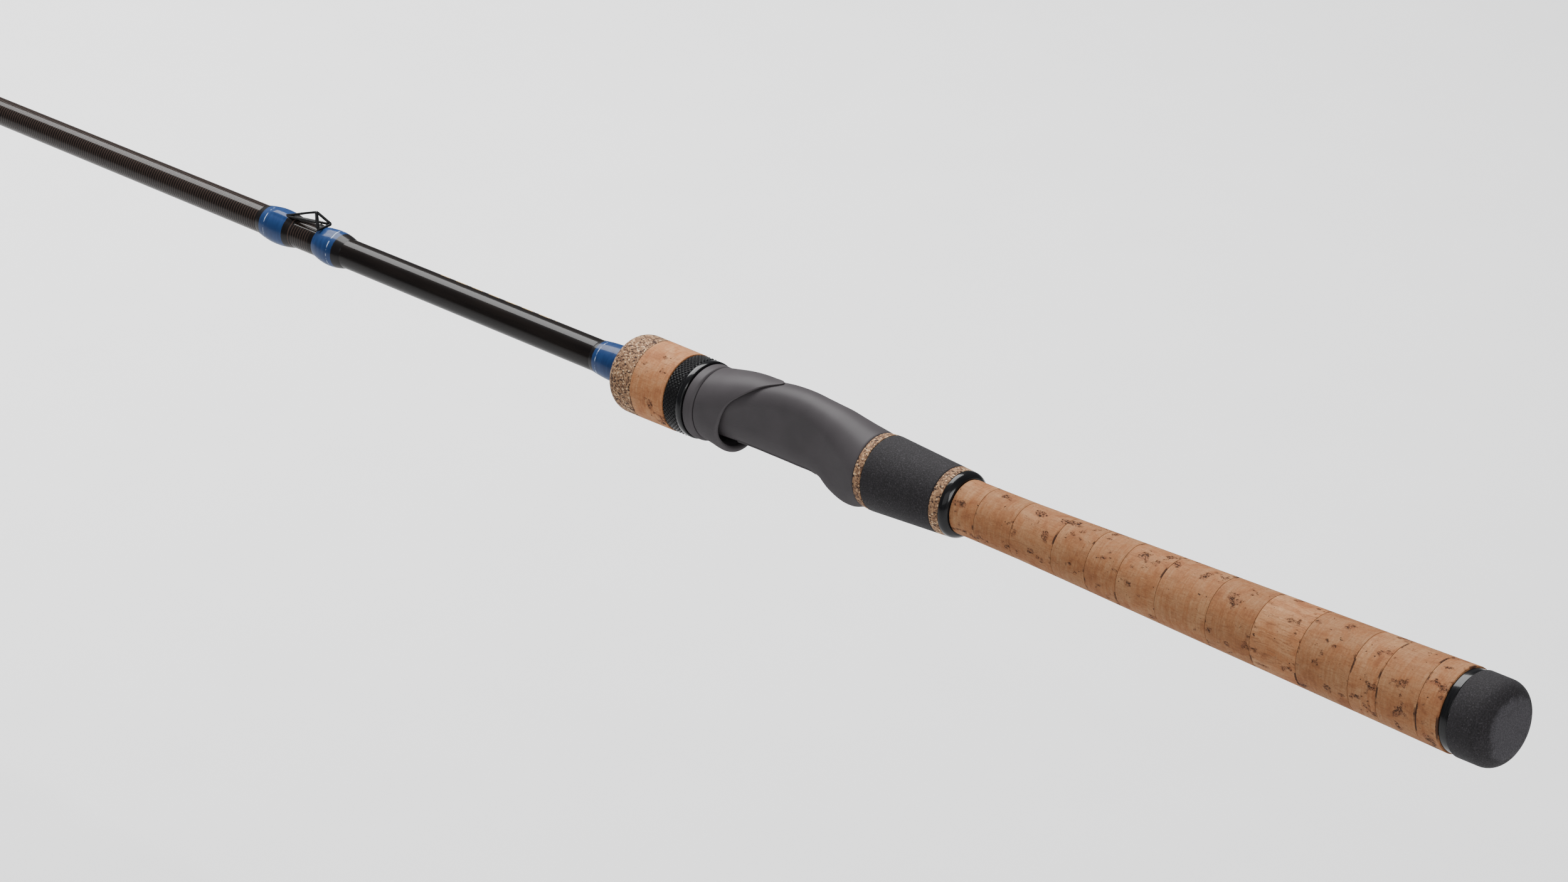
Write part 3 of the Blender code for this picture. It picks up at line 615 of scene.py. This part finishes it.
def sweep(bm, path, width, height=None, sides=12, closed=False, up=(0.0, 0.0, 1.0)):
    """A rounded bar along a path of (station, y, z) points. Its half-sizes are given per point or for all."""
    places = [point(*place) for place in path]
    height = height or width
    total = len(places)
    turns = [math.tau * k / sides for k in range(sides)]
    rows = []
    for i, place in enumerate(places):
        ahead = places[(i + 1) % total] if closed or i < total - 1 else place
        behind = places[i - 1] if closed or i else place
        along = (ahead - behind).normalized()
        across = along.cross(Vector(up)).normalized()
        over = across.cross(along)
        wide = (width[i] if isinstance(width, (list, tuple)) else width) * MM
        high = (height[i] if isinstance(height, (list, tuple)) else height) * MM
        rows.append([place + across * wide * math.cos(turn) + over * high * math.sin(turn) for turn in turns])
    if not closed:
        rows = [[places[0]], *rows, [places[-1]]]
    return bridge(bm, rows, closed=closed)


def rounded_path(corners, size, closed=False, count=5):
    """A path with its corners rounded off at a given size in millimetres."""
    places = [Vector(corner) for corner in corners]
    total = len(places)
    result = []
    for i, here in enumerate(places):
        if closed or 0 < i < total - 1:
            result += rounded_corner(places[i - 1], here, places[(i + 1) % total], size, 0.45, count)
        else:
            result.append(tuple(here))
    return result


# ---- Blank ----


def make_blank():
    """The two sections of the blank. The tip section is hollow over the ferrule, and solid ahead of that."""
    rear, front, rear_radius, front_radius, bore = sizes("blank_butt_section")
    outline = [(rear, bore), (rear, rear_radius, 0.3), (front, front_radius, 0.4), (front, bore)]
    stand_for(lathe("blank_butt_tube", fillet(outline), 64), "blank_butt_section", carbon("blank_butt", TAPE_START))
    rear, front, rear_radius, front_radius, _ = sizes("blank_tip_section")
    wall, hollow, solid = 1.15, 66.0, 80.0
    bore = rear_radius - wall
    outline = [(rear, bore), (rear, rear_radius, 0.4), (front, front_radius, 0.3), (front, 0.0), (rear + solid, 0.0),
               (rear + hollow, bore - 0.1)]
    stand_for(lathe("blank_tip_tube", fillet(outline), 64), "blank_tip_section", carbon("blank_tip", 0.0))


# ---- Handle ----


def plain_ring(node, material, edge=0.3):
    """A ring with eased edges in place of a turned CAD node."""
    rear, front, rear_radius, front_radius, bore = sizes(node)
    outline = [(rear, bore), (rear, rear_radius, edge), (front, front_radius, edge), (front, bore)]
    return stand_for(lathe(f"{node}_turned", fillet(outline)), node, material)


def make_butt_cap():
    """The foam cap: a nearly flat end, a deep rounded edge, and a socket for the end of the blank."""
    rear, front, _, radius, _ = sizes("butt_cap")
    edge, socket_end, socket = 5.6, 7.6, 6.2
    outline = [(rear, 0.0), (rear, 3.0), (rear + 0.03, 6.2)]
    for k in range(13):
        angle = math.radians(-90.0 + 90.0 * k / 12)
        outline.append((rear + 0.08 + edge * (1 + math.sin(angle)), radius - edge + edge * math.cos(angle)))
    outline += [(front - 0.4, radius), (front - 0.1, radius - 0.12), (front, radius - 0.4), (front, socket),
                (socket_end, socket), (socket_end, 0.0)]
    stand_for(lathe("butt_cap_foam", outline), "butt_cap", foam(end=True))


def make_mid_ring(material):
    """The metal ring ahead of the rear grip, stepped down and rounded at its rear."""
    rear, front, _, radius, bore = sizes("mid_trim_ring")
    outline = [(rear, bore), (rear, 9.3, 0.3), (rear + 0.9, 10.3, 0.7), (rear + 1.9, radius, 0.9),
               (front, radius, 0.25), (front, bore)]
    stand_for(lathe("mid_trim_ring_turned", fillet(outline)), "mid_trim_ring", material)


def make_handle():
    """The grips and their trim. Each rear cork ring has its (tint, share of lengthwise streaks), butt first."""
    looks = ((1.0, 0.1), (0.97, 0.2), (1.04, 0.0), (0.92, 0.2), (1.17, 0.85), (0.93, 0.1), (1.0, 0.0), (1.03, 0.3),
             (0.97, 0.0), (0.93, 0.15), (0.99, 0.5), (0.94, 0.1), (1.03, 0.0))
    for number, (tint, streaks) in enumerate(looks, start=1):
        node = f"rear_cork_ring_{number:02d}"
        plain_ring(node, cork(number, tint, sizes(node)[:2], streaks), edge=0.16)
    plain_ring("fore_cork_ring", cork(20, 1.29, sizes("fore_cork_ring")[:2]), edge=0.15)
    black = gloss_black()
    plain_ring("butt_trim_ring", black, edge=0.35)
    make_mid_ring(black)
    burl = burl_cork()
    plain_ring("mid_burl_ring", burl, edge=0.2)
    plain_ring("seat_burl_ring", burl, edge=0.2)
    plain_ring("mid_eva_grip", foam(), edge=0.5)
    make_fore_burl(burl)
    make_knurl(black, gloss_black("knurled_black", 0.3, 0.0))


def make_fore_burl(material):
    """The domed ring at the front of the foregrip, hollow behind its front wall."""
    rear, front, radius, _, bore = sizes("fore_burl_ring")
    length, drop = 5.5, 5.2
    hollow, wall = 10.1, 4.6
    outline = [(rear, hollow), (rear, radius - 0.2), (rear + 0.2, radius)]
    for k in range(15):
        angle = math.radians(90.0 * k / 14)
        outline.append((front - length + length * math.sin(angle), radius - drop + drop * math.cos(angle)))
    outline += [(front, bore + 0.3), (front - 0.3, bore), (front - wall, bore), (front - wall, hollow)]
    stand_for(lathe("fore_burl_ring_turned", outline), "fore_burl_ring", material)


def make_knurl(smooth, rough):
    """The lock nut's metal ring: a smooth gloss land, and a band of real diamond knurling."""
    rear, front, _, radius, bore = sizes("knurled_ring")
    land = 2.1
    around, per_turn, depth, pitch, top = 560, 56, 0.32, 1.45, 0.7
    profile = ((rear, bore), (rear, radius - 0.45), (rear + 0.15, radius - 0.2), (rear + 0.4, radius - 0.08),
               (rear + land - 0.4, radius - 0.08), (rear + land - 0.15, radius - 0.16), (rear + land, radius - 0.45))
    rows = [circle(station, size, around) for station, size in profile]
    smooth_rows = len(rows)
    start, end = rear + land + 0.25, front - 0.2
    steps = 42
    for k in range(steps + 1):
        station = start + (end - start) * k / steps
        row = []
        for i in range(around):
            turn = i / around
            first = abs(((turn * per_turn + station / pitch) % 1.0) - 0.5) * 2
            second = abs(((turn * per_turn - station / pitch) % 1.0) - 0.5) * 2
            height = min(1.0 - first, 1.0 - second, top) / top
            height *= min(1.0, min(k, steps - k) / 3 + 0.2)
            row.append(spoke(station, radius - depth * (1.0 - height), math.tau * turn))
        rows.append(row)
    rows += [circle(front, radius - 0.5, around), circle(front, bore, around)]
    bm = bmesh.new()
    faces = bridge(bm, rows, closed=True)
    for face in faces[smooth_rows * around:]:
        face.material_index = 1
    stand_for(make_object("knurled_ring_cut", bm, angle=30.0), "knurled_ring", smooth, rough)


# ---- Reel seat, hood and collar ----


def baked(obj):
    """Applies an object's modifiers."""
    bpy.context.view_layer.update()
    mesh = bpy.data.meshes.new_from_object(obj.evaluated_get(bpy.context.evaluated_depsgraph_get()))
    obj.modifiers.clear()
    mesh.materials.clear()
    obj.data = mesh
    mesh.shade_smooth()
    mesh.set_sharp_from_angle(angle=math.radians(SEAT_ANGLE))


def seat_row(station, inset=0.0):
    """One cross-section of the seat, with the reel foot's flat and the step along each side."""
    size = smooth_table(SEAT_SECTIONS, station)
    level = blend_table(BED_LEVEL, station)
    row = []
    for y, z in section(size, inset, FINE_ROUND):
        step = unit((SIDE_STEP["below"] - z) / 0.25) * unit((station - SIDE_STEP["ahead_of"]) / 2.0)
        y -= math.copysign(SIDE_STEP["depth"] * step, y)
        row.append(point(station, y, soft_max(z, level + inset, 0.3)))
    return row


def thread_row(station):
    """One ring of the seat's threaded barrel. The thread is right-handed and runs out at both ends."""
    rear, front = THREAD["stations"]
    fade = min(1.0, max(0.0, (station - rear - 0.8) / 1.5), max(0.0, (front - 1.0 - station) / 1.5))
    row = []
    for i in range(FINE_ROUND):
        phase = (station / THREAD["pitch"] + i / FINE_ROUND) % 1.0
        height = unit(1.35 - abs(phase - 0.5) * 4.2)
        radius = THREAD["root"] + THREAD["depth"] * height * fade
        row.append(spoke(station, radius, math.tau * i / FINE_ROUND))
    return row


def pocket_cutter():
    """A rounded block that hollows the pocket for the rear of the reel's foot."""
    deep, mouth = POCKET["stations"]
    low, high = POCKET["z"]
    half, corner = POCKET["half_width"], POCKET["corner"]
    outline = fillet([(-half, low, corner), (half, low, corner), (half, high, 0.6), (-half, high, 0.6)], 5)
    middle = (low + high) / 2
    rows = []
    for station, shrink in ((deep, 1.4), (deep + 0.4, 0.6), (deep + 1.2, 0.1), (deep + 2.0, 0.0), (mouth, 0.0)):
        squash = 1 - shrink / (high - low) * 1.6
        rows.append([point(station, y * (half - shrink) / half, middle + (z - middle) * squash) for y, z in outline])
    bm = bmesh.new()
    bridge(bm, rows)
    for row in (rows[0], rows[-1]):
        bm.faces.new([bm.verts.new(co) for co in row])
    return make_object("pocket_cutter", bm)


def seat_moulding():
    """The seat's body, with the pocket for the rear of the reel's foot cut into it."""
    rear, front = SEAT_SECTIONS[0][0], SEAT_SECTIONS[-1][0]
    edge, steps = 0.35, 112
    rows = [circle(rear, SEAT_BORE, FINE_ROUND), seat_row(rear, edge), seat_row(rear + 0.12, 0.12)]
    rows += [seat_row(rear + edge + (front - rear - edge) * k / steps) for k in range(steps + 1)]
    rows += [seat_row(front, 1.0), circle(front, SEAT_BORE, FINE_ROUND)]
    bm = bmesh.new()
    bridge(bm, rows, closed=True)
    seat = make_object("reel_seat_moulding", bm, angle=SEAT_ANGLE)
    cutter = pocket_cutter()
    cut = seat.modifiers.new("pocket", "BOOLEAN")
    cut.operation = "DIFFERENCE"
    cut.solver = "MANIFOLD"
    cut.object = cutter
    baked(seat)
    bpy.data.objects.remove(cutter)
    return seat


def seat_rails():
    """The rails along both sides of the seat, which follow the lower circle of its cross-sections."""
    bm = bmesh.new()
    for side in (-1, 1):
        for level, inset, wide, tall in RAILS:
            path = []
            for station in range(265, 301, 2):
                centre, radius = smooth_table(SEAT_SECTIONS, station)[2:]
                path.append((station, side * (math.sqrt(radius**2 - (level - centre) ** 2) - inset), level))
            sweep(bm, path, wide, tall)
    return make_object("reel_foot_rails", bm)


def seat_barrel():
    """The threaded barrel, whose rear end is hidden inside the moulding."""
    rear, bore, steps = SEAT_SECTIONS[-1][0] - 2.0, SEAT_BORE + 0.02, 150
    first, last = THREAD["stations"]
    rows = [circle(rear, bore, FINE_ROUND), circle(rear, THREAD["root"], FINE_ROUND)]
    rows += [thread_row(first + (last - first) * k / steps) for k in range(steps + 1)]
    rows += [circle(last, bore, FINE_ROUND)]
    bm = bmesh.new()
    bridge(bm, rows, closed=True)
    return make_object("seat_thread", bm, angle=SEAT_ANGLE)


def make_seat(material):
    moulding, rails, barrel = seat_moulding(), seat_rails(), seat_barrel()
    for piece in (rails, barrel, moulding):
        stand_for(piece, "reel_seat_body", material)


def make_hood(material):
    """The sliding hood: a thin shell whose rear rim is rolled, and thicker round the mouth below."""
    front = HOOD_SECTIONS[-1][0]
    rows_out, rows_in, shell = 48, 16, 1.0

    def outline(station, inset=0.0):
        return section(smooth_table(HOOD_SECTIONS, station), inset, FINE_ROUND)

    columns = []
    for i in range(FINE_ROUND):
        # The rim's station depends on the height there, so it is found by stepping towards it
        edge = 295.0
        for _ in range(12):
            target, wall = smooth_table(HOOD_EDGE, outline(edge)[i][1])
            edge += (target - edge) * 0.6
        column = [(front, shell), (front, 0.6), (front - 0.15, 0.22), (front - 0.4, 0.0)]
        end = edge + wall / 2
        column += [(front - 0.4 + (end - front + 0.4) * k / rows_out, 0.0) for k in range(1, rows_out + 1)]
        for k in range(1, 8):
            turn = math.pi * k / 8
            column.append((end - wall / 2 * math.sin(turn), wall / 2 * (1 - math.cos(turn))))
        column += [(end + (front - end) * k / rows_in, wall + (shell - wall) * k / rows_in) for k in range(rows_in)]
        columns.append([point(station, *outline(station, inset)[i]) for station, inset in column])
    rows = [[column[k] for column in columns] for k in range(len(columns[0]))]
    bm = bmesh.new()
    bridge(bm, rows, closed=True)
    stand_for(make_object("sliding_hood_shell", bm), "sliding_hood", material)


def make_collar(material):
    """The turned collar that joins the hood to the lock nut."""
    rear, front, _, radius, bore = sizes("hood_collar")
    outline = [(rear, bore), (rear, radius - 0.75, 0.2), (rear + 0.55, radius - 0.15, 0.4), (rear + 1.1, radius, 0.5),
               (front - 0.5, radius, 0.4), (front, radius - 0.45, 0.25), (front, bore)]
    stand_for(lathe("hood_collar_turned", fillet(outline)), "hood_collar", material)


# ---- Wraps ----


def make_wrap(node, thread, stripe, swell, foot=None, reach=(0.0, 0.0)):
    """Thread and epoxy round the blank, raised over a foot: (angle from the top, half width, height, open end)."""
    rear, front, _, _, bore = sizes(node)
    rear, front = rear - reach[0], front + reach[1]
    blank = bore - 0.1
    steps, count = 40, 96
    rows = [circle(rear, blank + 0.02, count)]
    for k in range(steps + 1):
        share = k / steps
        station = rear + (front - rear) * share
        hump = math.sin(math.pi * share) ** 0.85
        row = []
        for i in range(count):
            angle = math.tau * i / count
            radius = blank + 0.03 + swell * hump
            if foot:
                towards, half, height, open_end = foot
                turn = abs((angle - towards + math.pi) % math.tau - math.pi) * blank
                along = share if open_end == "rear" else 1.0 - share
                fade = unit((0.82 - along) / 0.3) * min(along / 0.06 + 0.4, 1.0)
                radius += height * math.exp(-((turn / (half * 1.25)) ** 4)) * fade * fade * (3 - 2 * fade)
            row.append(spoke(station, radius, angle))
        rows.append(row)
    rows.append(circle(front, blank + 0.02, count))
    bm = bmesh.new()
    bridge(bm, rows, closed=True)
    stand_for(make_object(f"{node}_thread", bm, angle=60.0), node, wrap_material(f"{node}_finish", thread, stripe))


def make_keeper_and_wraps():
    """The trim, keeper and ferrule wraps, and the hook keeper's wire with its two flattened feet."""
    make_wrap("fore_trim_wrap", (340.0, 364.2), 362.6, 0.8)
    make_wrap("keeper_rear_wrap", (491.1, 503.0), 493.2, 1.2, (0.0, 1.1, 0.35, "front"))
    make_wrap("keeper_front_wrap", (516.7, 528.5), 525.8, 1.25, (0.3, 0.9, 0.35, "rear"), reach=(3.0, 0.0))
    rear, front = sizes("ferrule_wrap")[:2]
    make_wrap("ferrule_wrap", (rear + 1.2, front - 1.8), front - 4.0, 0.45)
    near, apex, far = (500.1, -3.1, 6.15), (504.2, 0.0, 10.75), (500.1, 2.9, 6.4)
    nose = (520.0, -1.6, 5.35)
    lengthwise = (1.0, 0.0, 0.0)
    bm = bmesh.new()
    sweep(bm, rounded_path([near, apex, far], 0.7, closed=True), 0.5, closed=True, up=lengthwise)
    sweep(bm, [(503.8, -0.3, 10.3), (502.2, -1.5, 8.5), (500.5, -2.8, 6.6)], [0.75, 0.85, 0.7], 0.5, up=lengthwise)
    sweep(bm, [(504.3, 0.0, 10.5), (508.6, -0.3, 9.1), (513.4, -0.8, 7.4), (517.0, -1.3, 6.2), nose],
          [0.5, 0.46, 0.5, 0.6, 0.7], [0.45, 0.42, 0.42, 0.4, 0.3])
    sweep(bm, [(501.8, -1.8, 7.9), (507.5, -2.0, 7.3), (514.0, -1.9, 6.3), nose],
          [0.5, 0.5, 0.55, 0.6], [0.45, 0.45, 0.42, 0.3])
    sweep(bm, [(500.1, 2.5, 6.5), (507.0, 1.2, 6.2), (514.0, -0.5, 6.0), nose],
          [0.5, 0.55, 0.55, 0.6], [0.45, 0.45, 0.42, 0.3])
    sweep(bm, [(517.0, -1.4, 5.6), (520.0, -1.6, 5.25), (526.5, -1.6, 5.1)], [0.8, 1.0, 0.5], [0.35, 0.28, 0.12])
    sweep(bm, [(503.4, 0.0, 5.9), (501.0, 0.0, 5.85), (494.3, 0.0, 5.45)], [1.6, 1.3, 0.5], [0.45, 0.38, 0.12])
    stand_for(make_object("hook_keeper_wire", bm), "hook_keeper", gloss_black("black_wire", 0.4, 0.03))


# ---- Guides ----


def ring_facts(node):
    """A guide ring's station, its drop below the rod's axis, its hole radius and its outer radius."""
    low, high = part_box(node)
    outer = (high.y - low.y) / 2 / MM
    centre = (low + high) / 2
    return -centre.x / MM, -centre.z / MM, (outer - 0.55) / 1.09, outer


def lowered_lathe(bm, outline, station, drop, count=96):
    """Turns an outline of (distance from the station, radius) points round an axis that is below the rod's."""
    start = len(bm.verts)
    lathe_mesh(bm, [(station + along, radius) for along, radius in outline], count)
    bm.verts.ensure_lookup_table()
    bmesh.ops.translate(bm, verts=bm.verts[start:], vec=(0.0, 0.0, -drop * MM))


def make_guide(number, feet, frame_finish, ring_finish):
    """A guide's ceramic ring, its wire frame on one or two feet, and the wraps over them."""
    name = f"guide_{number}"
    station, drop, hole, outer = ring_facts(f"{name}_ring")
    thick = 0.6 + 0.05 * hole
    bm = bmesh.new()
    outline = fillet([(-thick, hole, thick * 0.95), (thick, hole, thick * 0.95), (thick * 0.75, outer, 0.15),
                      (-thick * 0.75, outer, 0.15)], 6)
    lowered_lathe(bm, outline, station, drop)
    stand_for(make_object(f"{name}_ceramic", bm), f"{name}_ring", ring_finish)
    low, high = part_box(f"{name}_frame")
    surface = sizes(f"{name}_front_wrap" if feet == 2 else f"{name}_wrap")[4] - 0.1
    hold, band = outer + 0.04, 0.75 + 0.06 * hole
    bm = bmesh.new()
    shell = fillet([(-thick * 0.9, hold, 0.1), (thick * 0.9, hold, 0.1), (thick, hold + band * 0.8, 0.5),
                    (-thick, hold + band * 0.8, 0.5)], 4)
    lowered_lathe(bm, shell, station, drop)
    ends = {1: -low.x / MM, -1: -high.x / MM}
    for side in (1, -1)[:feet]:
        toe = ends[side]
        heel = station + side * (drop - surface) * (0.75 if feet == 2 else 0.9)
        wide = 0.5 + 0.05 * hole
        for edge in (-1, 1):
            angle = math.radians(46.0) * edge
            reach = hold + band * 0.4
            top = (station + side * thick * 0.3, reach * math.sin(angle), -drop + reach * math.cos(angle))
            bend = (heel - side * 0.4, edge * wide * 0.55, -surface - 0.75)
            end = (heel + side * 4.0, edge * wide * 0.35, -surface - 0.4)
            path = rounded_path([top, bend, end], 2.0 + 0.2 * hole)
            widths = [wide * (0.9 - 0.2 * k / (len(path) - 1)) for k in range(len(path))]
            sweep(bm, path, widths, 0.34 + 0.02 * hole)
        foot = [(heel - side * 0.6, 0.0, -surface - 0.62), (heel + side * 2.5, 0.0, -surface - 0.42),
                (toe - side * 2.0, 0.0, -surface - 0.22), (toe, 0.0, -surface - 0.12)]
        sweep(bm, foot, [wide * 1.1, wide * 1.5, wide * 0.9, 0.3], [0.35, 0.32, 0.18, 0.06])
        wrap = f"{name}_{'front' if side == 1 else 'rear'}_wrap" if feet == 2 else f"{name}_wrap"
        rear, front = sizes(wrap)[:2]
        stripe = front - 3.2 if side == 1 else rear + 3.2
        opening = "rear" if side == 1 else "front"
        make_wrap(wrap, (rear + 0.9, front - 0.9), stripe, 0.42, (math.pi, wide * 1.4, 0.62, opening))
    stand_for(make_object(f"{name}_wire_frame", bm), f"{name}_frame", frame_finish)


def make_tip_top(frame_finish, ring_finish):
    """The tip-top: a tube over the end of the blank, and a ceramic ring on two short legs."""
    station, drop, _, outer = ring_facts("tip_top_ring")
    hole = outer - 0.7
    bm = bmesh.new()
    outline = fillet([(-0.6, hole, 0.55), (0.6, hole, 0.55), (0.45, outer, 0.12), (-0.45, outer, 0.12)], 6)
    lowered_lathe(bm, outline, station, drop)
    stand_for(make_object("tip_top_ceramic", bm), "tip_top_ring", ring_finish)
    low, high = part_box("tip_top_frame")
    rear, front = -high.x / MM, -low.x / MM
    corners = (vertex.co / MM for vertex in frame["nodes"]["tip_top_frame"].data.vertices)
    tube = max(math.hypot(corner.y, corner.z) for corner in corners if -corner.x < rear + 0.05)
    wall, depth = 0.35, 12.0
    bm = bmesh.new()
    outline = [(rear, tube - wall), (rear, tube, 0.15), (front, tube, tube * 0.8), (front, 0.0), (rear + depth, 0.0),
               (rear + depth, tube - wall)]
    lathe_mesh(bm, fillet(outline), 64)
    half, hold, rim = 0.62, outer + 0.04, outer + 0.62
    lowered_lathe(bm, fillet([(-half, hold), (half, hold), (half, rim, 0.3), (-half, rim, 0.3)]), station, drop, 64)
    for side in (-1.0, 1.0):
        reach = outer + 0.3
        path = rounded_path([(rear + 3.0, side * 0.5, -tube + 0.1), (rear + 7.5, side * 0.9, -tube - 0.3),
                             (station, side * reach * 0.92, -drop + reach * 0.2)], 2.0)
        sweep(bm, path, 0.42, 0.36)
    stand_for(make_object("tip_top_fitting", bm), "tip_top_frame", frame_finish)


def main():
    add_camera()
    add_studio()
    make_blank()
    make_butt_cap()
    make_handle()
    grey = soft_touch()
    make_seat(grey)
    make_hood(grey)
    make_collar(grey)
    make_keeper_and_wraps()
    coated, polished = gloss_black("guide_black", 0.22), ceramic()
    for number, feet in ((1, 2), (2, 2), (3, 1), (4, 1), (5, 1), (6, 1)):
        make_guide(number, feet, coated, polished)
    make_tip_top(coated, polished)
    # These CAD pieces have no finer piece in their place, and only take a material
    kept = {"lock_nut": grey, "seat_arbor_rear": hidden_foam(), "seat_arbor_front": hidden_foam()}
    for node, material in kept.items():
        frame["nodes"][node].data.materials.clear()
        frame["nodes"][node].data.materials.append(material)


main()
